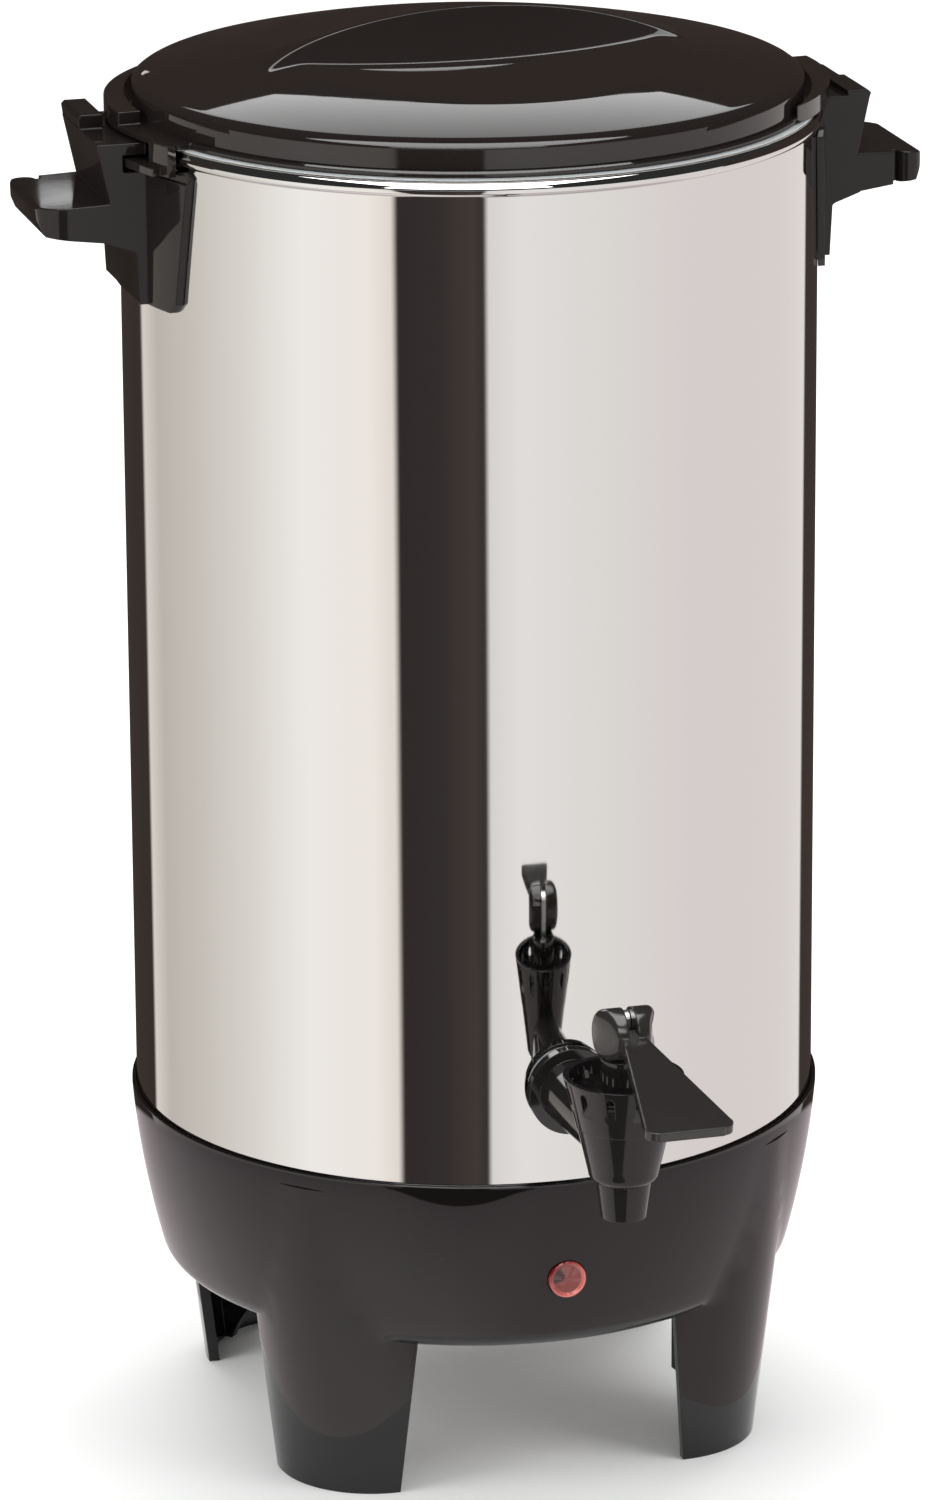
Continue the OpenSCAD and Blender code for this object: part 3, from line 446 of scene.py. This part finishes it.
def heatedSheath():
    finish = Finish("heatedSheath", {"Metallic": 0.8})
    bands = finish.noise(45, 3, place=finish.stretched(1, 1, 2))
    heated = finish.ramp(bands, (0.35, 0), (0.65, 1))
    tone = finish.blend(heated, rgb(0.1, 0.085, 0.08), rgb(0.3, 0.24, 0.2))
    return finish.use(color=tone, roughness=0.35 + 0.2 * bands)


def layeredMica():
    finish = Finish("layeredMica", {"Roughness": 0.55})
    flakes = finish.node("ShaderNodeTexVoronoi", sockets={"Vector": finish.place, "Scale": 260})
    tone = finish.blend(flakes, rgb(0.5, 0.4, 0.26), rgb(0.72, 0.63, 0.46))
    return finish.use(color=tone, normal=finish.bump(flakes, 0.0001, 0.4))


def pressedCeramic():
    finish = Finish("pressedCeramic", {"Roughness": 0.7})
    pores = finish.noise(700, 3)
    tone = finish.blend(pores, rgb(0.74, 0.7, 0.6), rgb(0.88, 0.85, 0.78))
    return finish.use(color=tone, normal=finish.bump(pores, 0.0001, 0.3))


def moulded(name, color, gloss, edge, peel=0.12, dust=0.35, shine=0.5):
    # glossy moulding: rounded edges, faint flow marks, orange peel and a little dust
    finish = Finish(name, {"IOR": 1.5, "Specular IOR Level": shine})
    rounded = finish.node("ShaderNodeBevel", {"samples": 6}, {"Radius": edge * mm})
    flow = finish.noise(14, 3)
    skin = finish.noise(420, 2)
    specks = finish.ramp(finish.noise(1500, 1), (0.74, 0), (0.8, 1))
    dull = finish.ramp(finish.noise(55, 4), (0.45, 0), (0.75, 1))
    tone = finish.blend(flow, rgb(*(0.86 * c for c in color)), rgb(*color))
    tone = finish.blend(specks * dull * dust, tone, rgb(0.2, 0.19, 0.18))
    roughness = gloss * (0.8 + 0.9 * dull + 0.4 * flow)
    return finish.use(color=tone, roughness=roughness, normal=finish.bump(skin, 0.00003, peel, rounded))


def redLens():
    finish = Finish("redLens", {"IOR": 1.55, "Coat Weight": 0.8, "Coat Roughness": 0.03})
    depth = finish.noise(420, 2)
    # tones painted on the mesh's corners: the dish's own red, painted highlight and shade on the rim, and a
    # painted dark reflection on some facets
    tone = finish.node("ShaderNodeVertexColor", {"layer_name": "lensTone"})
    tone = finish.blend(0.25 * depth, tone, rgb(0.05, 0.004, 0.004))
    return finish.use(color=tone, roughness=0.05 + 0.05 * depth)


def clearSilicone():
    finish = Finish("clearSilicone", {"Transmission Weight": 0.25, "IOR": 1.41, "Subsurface Weight": 0.2})
    bloom = finish.noise(120, 3)
    tone = finish.blend(bloom, rgb(0.74, 0.73, 0.7), rgb(0.84, 0.83, 0.81))
    return finish.use(color=tone, roughness=0.42 + 0.12 * bloom, normal=finish.bump(bloom, 0.00005, 0.3))


finishes = {
    "polished_steel": polishedSteel(),
    "sheet_steel": brushedMetal("satinSteel", (0.66, 0.65, 0.63), 0.3),
    "zinc_steel": brushedMetal("zincSteel", (0.62, 0.62, 0.6), 0.36, (1, 1, 1)),
    "sheath_steel": heatedSheath(),
    "cast_aluminium": castMetal("castAluminium", (0.68, 0.68, 0.69), 0.4),
    "mica": layeredMica(),
    "ceramic": pressedCeramic(),
    "lamp_red": redLens(),
    "nickel_pins": brushedMetal("nickelPins", (0.74, 0.71, 0.64), 0.22, (1, 1, 1)),
    "black_plastic": moulded("tapPhenolic", (0.014, 0.0125, 0.012), 0.05, 0.35),
    "base_plastic": moulded("baseCharcoal", (0.0075, 0.006, 0.006), 0.03, 0.6, 0.08),
    "handle_plastic": moulded("handleBlack", (0.013, 0.0105, 0.01), 0.05, 0.7, shine=0.28),
    "lid_plastic": moulded("lidBlack", (0.016, 0.0125, 0.0115), 0.022, 0.5, 0.03),
    "silicone": clearSilicone(),
}
print("finishes mixed:", len(finishes))


edges = {
    "sharpAngle": 32,  # degrees
    "weld": 2e-6,  # metres
}


def crease(made):
    split = made.modifiers.new("crease", "EDGE_SPLIT")
    split.split_angle = math.radians(edges["sharpAngle"])


def dress(made, finish):
    made.data.materials.clear()
    made.data.materials.append(finish)
    made.data.polygons.foreach_set("use_smooth", [True] * len(made.data.polygons))
    weld = made.modifiers.new("weld", "WELD")
    weld.merge_threshold = edges["weld"]
    crease(made)


def copyOf(node, name):
    # the mesh of a CAD node in a piece of its own
    shape = nodes[node].data.copy()
    shape.transform(nodes[node].matrix_world)
    made = bpy.data.objects.new(name, shape)
    bpy.context.scene.collection.objects.link(made)
    return made


for part in frame["record"]["subparts"]:
    dress(nodes[part["node"]], finishes[part["material_slot"]])
print("frame dressed")


def lathe(name, profile, steps, place, out, lift=None):
    # turns (radius, height) points in mm round the axis through place that points along out
    turn = Vector((0, 0, 1)).rotation_difference(Vector(out)).to_matrix()
    points, faces = [], []
    for radius, height in profile:
        for i in range(steps):
            angle = 2 * math.pi * i / steps
            raised = height + (lift(radius, angle) if lift else 0)
            spot = Vector((radius * math.cos(angle), radius * math.sin(angle), raised))
            points.append(Vector(place) + turn @ spot * mm)
    for row in range(len(profile) - 1):
        for i in range(steps):
            after = (i + 1) % steps
            faces.append((row * steps + i, row * steps + after,
                          (row + 1) * steps + after, (row + 1) * steps + i))
    made = meshObject(name, points, faces, smooth=True)
    tidy = bmesh.new()
    tidy.from_mesh(made.data)
    bmesh.ops.remove_doubles(tidy, verts=tidy.verts, dist=1e-6)
    bmesh.ops.recalc_face_normals(tidy, faces=tidy.faces)
    tidy.to_mesh(made.data)
    tidy.free()
    return made


def bow(center, radius, first, last, count):
    # points of an arc in a lathe's profile, in degrees
    spread = [math.radians(first + (last - first) * i / count) for i in range(count + 1)]
    return [(center[0] + radius * math.cos(a), center[1] + radius * math.sin(a)) for a in spread]


wall = {  # mm
    "radius": 110.0,
    "sheet": 0.8,
    "low": 106.0,
    "bead": 2.4,
    "beadMiddle": 109.4,
    "beadHeight": 430.6,
    "beadArc": (-73, 253),  # degrees
    "beadPoints": 44,
    "beadFoot": 0.6,  # between the bead and the sheet inside
    "rowHeight": 5,
    "rows": 64,
    "steps": 512,
}


def makeTankWall():
    # the wall and its rolled bead, turned finely enough for mirror reflections
    outside, inside = wall["radius"], wall["radius"] - wall["sheet"]
    center = (wall["beadMiddle"], wall["beadHeight"])
    profile = [(inside, wall["low"]), (outside, wall["low"])]
    profile += [(outside, wall["low"] + wall["rowHeight"] * i) for i in range(1, wall["rows"])]
    profile += bow(center, wall["bead"], *wall["beadArc"], wall["beadPoints"])
    profile += [(inside, wall["beadHeight"] - wall["bead"] - wall["beadFoot"]), (inside, wall["low"])]
    made = lathe("tankWall", profile, wall["steps"], (0, 0, 0), (0, 0, 1))
    crease(made)
    made.data.materials.append(finishes["polished_steel"])
    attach(made, "urn")
    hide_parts("tank_body")


makeTankWall()


dome = {  # mm
    "ledge": 435.6,
    "band": 105.5,
    "crown": (37.0, 420.0),  # height of its centre, radius
    "shoulder": (99.9, 436.705, 8.0),  # centre's radius and height, radius
    "cap": (269.2, 195.0),
    "sideAxis": 97.7,
    "ridge": (98.9, 464.2),
    "foot": (125.0, 452.7),
    "hollow": 150.0,
    "floorSlope": 3.1,  # degrees
    "turn": 3.5,
    "ridgeBlend": 0.28,
    "footBlend": 0.3,
    "gripStart": 3,  # how far inside the ridge a hollow begins
    "clear": 40,  # above the ridge, where there is no hollow
    "rings": 120,
    "spokes": 600,
    "corner": 0.5,  # radius of the band's upper edge
    "cornerTurns": (55, 65, 75, 90),  # degrees
    "cornerDrop": 0.15,
    "skirt": (2.5, -0.2),  # heights above the ledge
    # how near the band and the top the CAD's faces lie that the fine top stands for
    "bandSlack": 0.06,
    "topSlack": 0.9,
    "topFacing": 0.3,  # least upward part of such a face's normal
}


def blendHigher(a, b, soft):
    share = max(0.0, min(1.0, 0.5 + 0.5 * (a - b) / soft))
    return b + (a - b) * share + soft * share * (1 - share)


def blendLower(a, b, soft):
    return -blendHigher(-a, -b, soft)


def crownHeight(r):
    low, radius = dome["crown"]
    if r < dome["shoulder"][0] * radius / (radius - dome["shoulder"][2]):
        return low + math.sqrt(radius * radius - r * r)
    place, high, bend = dome["shoulder"]
    return high + math.sqrt(max(0.0, bend * bend - (r - place) ** 2))


def gripSide(x, y, turn):
    # heights of the hollow on one side of the grip and of the sloping floor outside it
    angle = math.radians(turn)
    along = x * math.cos(angle) + y * math.sin(angle)
    across = y * math.cos(angle) - x * math.sin(angle)
    reach = math.hypot(along, across - dome["sideAxis"])
    (x1, z1), (x2, z2), bend = dome["ridge"], dome["foot"], dome["hollow"]
    length = math.hypot(x2 - x1, z2 - z1)
    rise = math.sqrt(bend * bend - length * length / 4) / length
    middle = ((x1 + x2) / 2 - (z2 - z1) * rise, (z1 + z2) / 2 + (x2 - x1) * rise)
    floor = z2 - (reach - x2) * math.tan(math.radians(dome["floorSlope"]))
    if reach < x1 - dome["gripStart"]:
        return z1 + dome["clear"], z1 + dome["clear"]
    return middle[1] - math.sqrt(max(0.0, bend * bend - (reach - middle[0]) ** 2)), floor


def domeHeight(x, y):
    r = math.hypot(x, y)
    low, radius = dome["cap"]
    soft = dome["ridgeBlend"]
    top, grip = crownHeight(r), low + math.sqrt(radius * radius - r * r)
    for turn in (dome["turn"], dome["turn"] + 180):
        hollow, floor = gripSide(x, y, turn)
        top, grip = blendLower(top, floor, soft), blendLower(grip, hollow, soft)
    return blendHigher(top, grip, dome["footBlend"])


def makeLid():
    # the CAD's lid without its top, and a finely drawn top in its place
    shell = copyOf("lid_shell", "lidShell")
    rest = shell.data
    cut = bmesh.new()
    cut.from_mesh(rest)
    bmesh.ops.remove_doubles(cut, verts=cut.verts, dist=edges["weld"])
    gone = []
    for face in cut.faces:
        x, y, z = face.calc_center_median() / mm
        r = math.hypot(x, y)
        onBand = abs(r - dome["band"]) < dome["bandSlack"]
        onTop = (r < dome["band"] and face.normal.z > dome["topFacing"]
                 and abs(z - domeHeight(x, y)) < dome["topSlack"])
        if z > dome["ledge"] and (onBand or onTop):
            gone.append(face)
    bmesh.ops.delete(cut, geom=gone, context="FACES")
    cut.to_mesh(rest)
    cut.free()
    rest.polygons.foreach_set("use_smooth", [True] * len(rest.polygons))
    crease(shell)
    corner = dome["corner"]
    reaches = [(dome["band"] - corner) * (i / dome["rings"]) for i in range(1, dome["rings"] + 1)]
    points, faces = [(0, 0, domeHeight(0, 0) * mm)], []
    spokes = dome["spokes"]
    for r in reaches:
        for i in range(spokes):
            angle = 2 * math.pi * i / spokes
            x, y = r * math.cos(angle), r * math.sin(angle)
            points.append((x * mm, y * mm, domeHeight(x, y) * mm))
    edge = crownHeight(dome["band"] - corner)
    below = [(corner * math.sin(math.radians(t)), -corner * (1 - math.cos(math.radians(t))))
             for t in dome["cornerTurns"]]
    skirt = [(dome["band"] - corner + dx, edge + dz - dome["cornerDrop"] * (i + 1))
             for i, (dx, dz) in enumerate(below)]
    skirt += [(dome["band"], dome["ledge"] + height) for height in dome["skirt"]]
    for r, z in skirt:
        for i in range(spokes):
            angle = 2 * math.pi * i / spokes
            points.append((r * math.cos(angle) * mm, r * math.sin(angle) * mm, z * mm))
    faces += [(0, 1 + i, 1 + (i + 1) % spokes) for i in range(spokes)]
    for row in range(len(reaches) + len(skirt) - 1):
        base = 1 + row * spokes
        faces += [(base + i, base + spokes + i,
                   base + spokes + (i + 1) % spokes, base + (i + 1) % spokes) for i in range(spokes)]
    top = meshObject("lidDome", points, faces, smooth=True)
    for made in (shell, top):
        made.data.materials.clear()
        made.data.materials.append(finishes["lid_plastic"])
        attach(made, "lid")
    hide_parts("lid_shell")


makeLid()


lamp = {  # mm
    "radius": 6.0,
    "stand": 1.8,  # how far the lens stands out of the bowl
    "bead": 0.55,
    "dishDepth": 0.75,
    "facets": 7,
    "facetDepth": 0.16,
    "facetRun": 2,  # from the middle to where a facet has its full depth
    "root": 3,  # how far the lens reaches into the bowl
    "step": 0.1,  # from the dish up to the inside of its rim
    "shoulder": 0.15,
    "crown": 0.35,  # rise of the dish towards its middle
    "rings": 12,
    "beadPoints": 10,
    "steps": 84,
    "light": -50,  # degrees, where the painted highlight on the rim is brightest
    "middle": 1.2,  # radius inside which no facet is painted dark
    "dish": (0.2, 0.03, 0.022),
    "paintedReflectionTone": (0.03, 0.002, 0.002),
    "paintedReflectionSpan": (118, 196),  # degrees, facets between them are painted dark as a painted reflection
    # painted highlight and painted shade of the rim, blended by its angle to the light
    "rimPaintedHighlight": (0.78, 0.2, 0.17),
    "rimPaintedShade": (0.2, 0.01, 0.01),
}


def makeLampLens():
    low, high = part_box("lamp_lens")
    bowlFace = low.y + lamp["stand"] * mm
    center = Vector((0, bowlFace, (low.z + high.z) / 2))
    radius, bead, crest = lamp["radius"], lamp["bead"], lamp["stand"] - lamp["bead"]
    dish = lamp["stand"] - lamp["dishDepth"]
    profile = [(radius, -lamp["root"]), (radius, crest)]
    profile += bow((radius - bead, crest), bead, 0, 180, lamp["beadPoints"])
    edge = radius - 2 * bead
    inner = edge - lamp["shoulder"]
    profile += [(inner, dish + lamp["step"])]
    for ring in range(1, lamp["rings"] + 1):
        share = ring / lamp["rings"]
        profile.append((inner * (1 - share), dish + lamp["crown"] * share ** 0.5))

    def facet(r, angle):
        if r > edge - lamp["step"]:
            return 0
        spread = abs((angle * lamp["facets"] / (2 * math.pi)) % 1 - 0.5) * 2
        return -lamp["facetDepth"] * spread * min(1, r / lamp["facetRun"])

    lens = lathe("lampLens", profile, lamp["steps"], center, (0, -1, 0), facet)
    shades = []
    for corner in lens.data.vertices:
        x, y, z = (corner.co - center) / mm
        r, angle = math.hypot(x, z), math.degrees(math.atan2(z, x)) % 360
        # painted highlight and shade: the rim is painted lighter towards one side and darker towards the
        # other
        if r > edge - 2 * lamp["step"]:
            paintedHighlightShare = 0.5 + 0.5 * math.cos(math.radians(angle - lamp["light"]))
            shades.append([a + (b - a) * paintedHighlightShare for a, b in zip(lamp["rimPaintedShade"], lamp["rimPaintedHighlight"])])
        # painted reflection: facets in one span are painted dark
        elif lamp["paintedReflectionSpan"][0] < angle < lamp["paintedReflectionSpan"][1] and r > lamp["middle"]:
            shades.append(lamp["paintedReflectionTone"])
        else:
            shades.append(lamp["dish"])
    paint(lens, "lensTone", shades)
    lens.data.materials.append(finishes["lamp_red"])
    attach(lens, "urn")
    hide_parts("lamp_lens")


makeLampLens()


screwHead = {  # mm
    "radius": 3.0,
    "height": 1.8,
    "side": 0.5,  # height of the upright side
    "round": 1.3,
    "roundEnd": 80,  # degrees
    "roundPoints": 8,
    "shank": 1.5,
    "length": 8,
    "tip": (0.4, 0.6),  # bevel at the shank's end
    "flat": 1.9,  # radius of the nearly flat middle
    "rise": 0.02,  # of that middle
    "rings": 19,
    "steps": 72,
    "crossHalf": 0.42,
    "crossReach": 1.75,
    "crossDepth": 0.9,
    "crossSide": 0.12,  # how wide the slope of its sides is
    "crossEnd": 0.25,  # and of its ends
}


def makeInletScrews():
    low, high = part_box("inlet_screws")
    radius, height, side = screwHead["radius"], screwHead["height"], screwHead["side"]
    shank, length, bend, flat = (screwHead[key] for key in ("shank", "length", "round", "flat"))
    tipIn, tipUp = screwHead["tip"]
    profile = [(0, -length), (shank - tipIn, -length), (shank, tipUp - length),
               (shank, 0), (radius, 0), (radius, side)]
    profile += bow((radius - bend, side), bend, 0, screwHead["roundEnd"], screwHead["roundPoints"])
    for ring in range(screwHead["rings"] + 1):
        share = 1 - ring / screwHead["rings"]
        profile.append((flat * share, height - screwHead["rise"] * share))

    def cross(r, angle):
        if r >= flat:
            return 0
        x, y = abs(r * math.cos(angle)), abs(r * math.sin(angle))
        across = (screwHead["crossHalf"] - min(x, y)) / screwHead["crossSide"]
        along = (screwHead["crossReach"] - r) / screwHead["crossEnd"]
        return -screwHead["crossDepth"] * min(1, max(0, across)) * min(1, max(0, along))

    for hand, x in (("Left", low.x + radius * mm), ("Right", high.x - radius * mm)):
        place = (x, high.y - height * mm, (low.z + high.z) / 2)
        head = lathe(f"inletScrew{hand}", profile, screwHead["steps"], place, (0, 1, 0), cross)
        head.data.materials.append(finishes["zinc_steel"])
        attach(head, "urn")
    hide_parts("inlet_screws")


makeInletScrews()


def makeSeatCup():
    # the silicone cup, whose rim sits under the bonnet, copied into a piece of its own
    seatCup = copyOf("seat_cup", "seatCup")
    dress(seatCup, finishes["silicone"])
    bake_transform(seatCup)
    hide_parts("seat_cup")


makeSeatCup()


lever = {  # mm
    "pin": -169.0,  # of its pin, along y
    "slot": 2.2,  # half of the fork's width, kept as it is
    "neck": 11.0,  # where the paddle leaves the head
    "end": 71.0,  # of the paddle
    # share of the CAD's width beyond the slot
    "neckShare": 0.5,
    "endShare": 1.1,
}


def makeTapLever():
    # the CAD's lever, with its head drawn in towards the neck of the paddle
    made = copyOf("tap_lever", "tapLever")
    for corner in made.data.vertices:
        out = lever["pin"] - corner.co.y / mm
        width = abs(corner.co.x) / mm
        if out <= 0 or width <= lever["slot"]:
            continue
        if out < lever["neck"]:
            t = out / lever["neck"]
            share = 1 - (1 - lever["neckShare"]) * t * t * (3 - 2 * t)
        else:
            t = (out - lever["neck"]) / (lever["end"] - lever["neck"])
            share = lever["neckShare"] + (lever["endShare"] - lever["neckShare"]) * min(1, t)
        corner.co.x = math.copysign((lever["slot"] + (width - lever["slot"]) * share) * mm, corner.co.x)
    dress(made, moulded("leverPhenolic", (0.028, 0.025, 0.024), 0.12, 0.8))
    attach(made, "lever")
    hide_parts("tap_lever")


makeTapLever()
print("pieces made")
